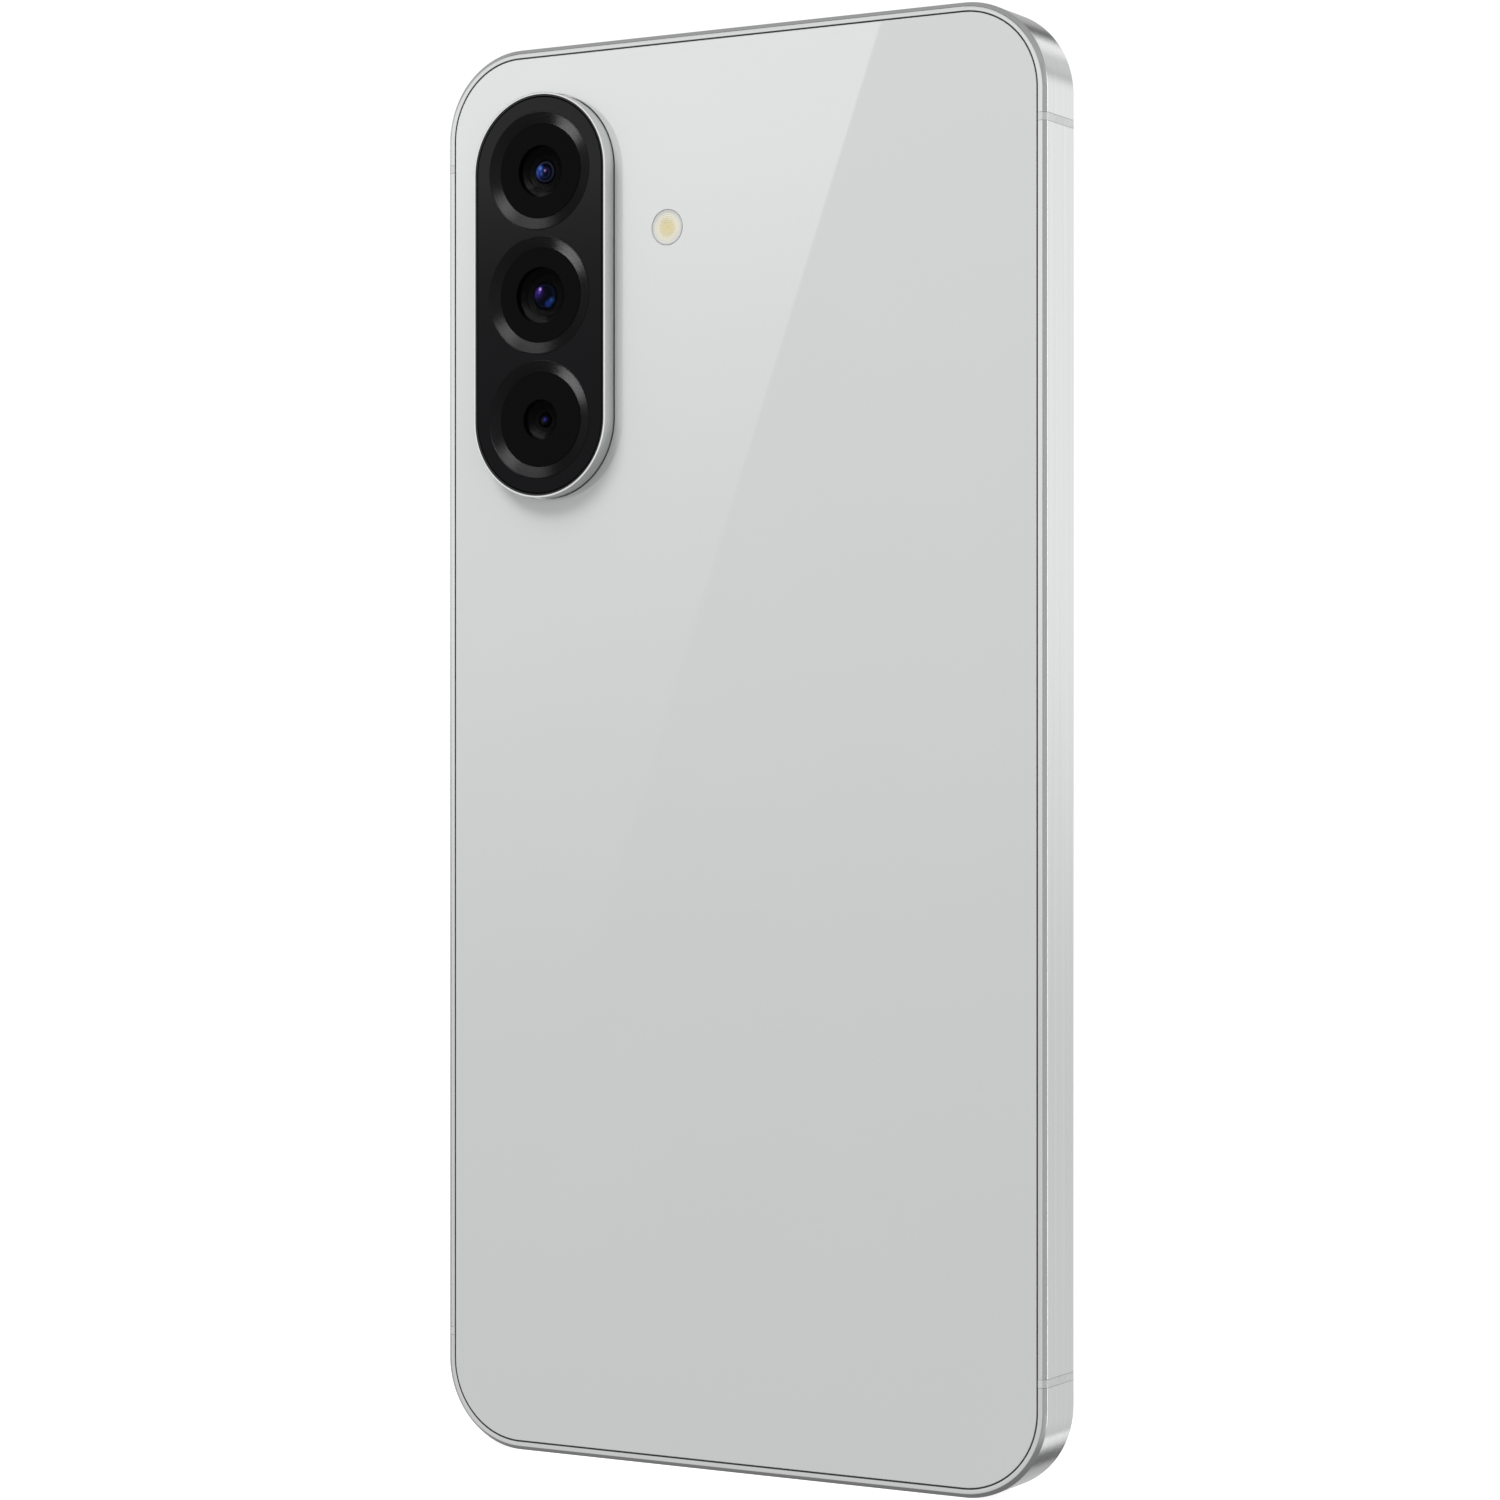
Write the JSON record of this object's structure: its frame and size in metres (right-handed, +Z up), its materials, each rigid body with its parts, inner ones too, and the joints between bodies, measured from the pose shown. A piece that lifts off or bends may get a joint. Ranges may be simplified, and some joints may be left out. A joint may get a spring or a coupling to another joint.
{
  "type": "smartphone",
  "caption": "Slab smartphone with a flat glass back, a metal frame with antenna breaks, a raised camera deck, side keys and a card tray.",
  "frame": {"origin": "centre of the bounding box's bottom face, under the bottom edge that the phone stands on", "axes": "+Z up along the length, -Y out of the rear glass, +Y out of the display, +X to the right when the rear glass is looked at"},
  "size_m": [0.0782, 0.0094, 0.1622],
  "materials": {
    "frame_aluminium": "fine lengthwise brushing, clear anodised",
    "key_aluminium": "satin, clear anodised",
    "antenna_plastic": "satin",
    "rear_glass": "gloss, light grey coating under the glass",
    "deck_rim": "bright satin",
    "black_glass": "gloss",
    "lens_ring": "turned, dark anodised",
    "lens_glass": "gloss, dark",
    "coated_lens": "gloss with a blue violet coating",
    "black_plastic": "fine matt",
    "flash_lens": "clear with a cream tint",
    "phosphor": "satin",
    "display": "switched off",
    "gasket": "foam tape",
    "cast_plate": "as cast, machined where it seats",
    "sheet_steel": "pressed sheet",
    "circuit_board": "solder resist",
    "battery_wrap": "satin film",
    "flex": "satin film",
    "copper": "satin"
  },
  "bodies": {
    "chassis": {"frame_top_rail": "frame_aluminium", "frame_bottom_rail": "frame_aluminium", "frame_left_rail": "frame_aluminium", "frame_right_rail": "frame_aluminium", "antenna_band_top_left": "antenna_plastic", "antenna_band_top_right": "antenna_plastic", "antenna_band_bottom_left": "antenna_plastic", "antenna_band_bottom_right": "antenna_plastic", "mid_plate": "cast_plate", "rear_glass": "rear_glass", "rear_glass_adhesive": "gasket", "flash_lens": "flash_lens", "flash_led": "phosphor", "camera_deck_rim": "deck_rim", "camera_deck_glass": "black_glass", "lens_ring_ultrawide": "lens_ring", "lens_ring_main": "lens_ring", "lens_ring_macro": "lens_ring", "lens_cover_ultrawide": "lens_glass", "lens_cover_main": "lens_glass", "lens_cover_macro": "lens_glass", "lens_barrel_ultrawide": "black_plastic", "lens_barrel_macro": "black_plastic", "lens_element_ultrawide": "coated_lens", "lens_element_macro": "coated_lens", "camera_housing_ultrawide": "black_plastic", "camera_housing_main": "black_plastic", "camera_housing_macro": "black_plastic", "image_sensor_main": "circuit_board", "front_glass": "black_glass", "display_panel": "display", "display_adhesive": "gasket", "front_camera_housing": "black_plastic", "front_camera_lens": "coated_lens", "earpiece_mesh": "black_plastic", "earpiece_receiver": "sheet_steel", "main_board": "circuit_board", "board_shield_processor": "sheet_steel", "board_shield_radio": "sheet_steel", "heat_spreader": "copper", "sim_reader": "sheet_steel", "top_cover": "black_plastic", "top_cover_screw_left": "sheet_steel", "top_cover_screw_right": "sheet_steel", "battery": "battery_wrap", "main_flex": "flex", "sub_board": "circuit_board", "microphone_bottom": "sheet_steel", "usb_shell": "sheet_steel", "usb_tongue": "black_plastic", "loudspeaker_module": "black_plastic", "speaker_screw": "sheet_steel", "vibration_motor_case": "sheet_steel", "side_key_flex": "flex"},
    "volume_rocker": {"volume_rocker": "key_aluminium"},
    "power_key": {"power_key": "key_aluminium"},
    "sim_tray": {"sim_tray": "key_aluminium"},
    "focus_barrel": {"lens_barrel_main": "black_plastic", "lens_element_main": "coated_lens"},
    "motor_mass": {"vibration_motor_mass": "cast_plate"}
  },
  "joints": [
    {"name": "volume_rocker_pivot", "type": "hinge", "parent": "chassis", "child": "volume_rocker", "pos_m": [-0.03692, 0.00095, 0.1142], "axis": [0, 1, 0], "range_deg": [-1.8, 1.8], "stiffness_Nm_per_rad": 0.3},
    {"name": "power_key_press", "type": "slide", "parent": "chassis", "child": "power_key", "axis": [1, 0, 0], "range_m": [0, 0.00025], "stiffness_N_per_m": 400},
    {"name": "sim_tray_slide", "type": "slide", "parent": "chassis", "child": "sim_tray", "axis": [0, 0, 1], "range_m": [0, 0.0225]},
    {"name": "autofocus_slide", "type": "slide", "parent": "chassis", "child": "focus_barrel", "axis": [0, -1, 0], "range_m": [0, 0.00025], "stiffness_N_per_m": 30},
    {"name": "vibration_slide", "type": "slide", "parent": "chassis", "child": "motor_mass", "axis": [1, 0, 0], "range_m": [-0.0005, 0.0005], "stiffness_N_per_m": 60}
  ]
}
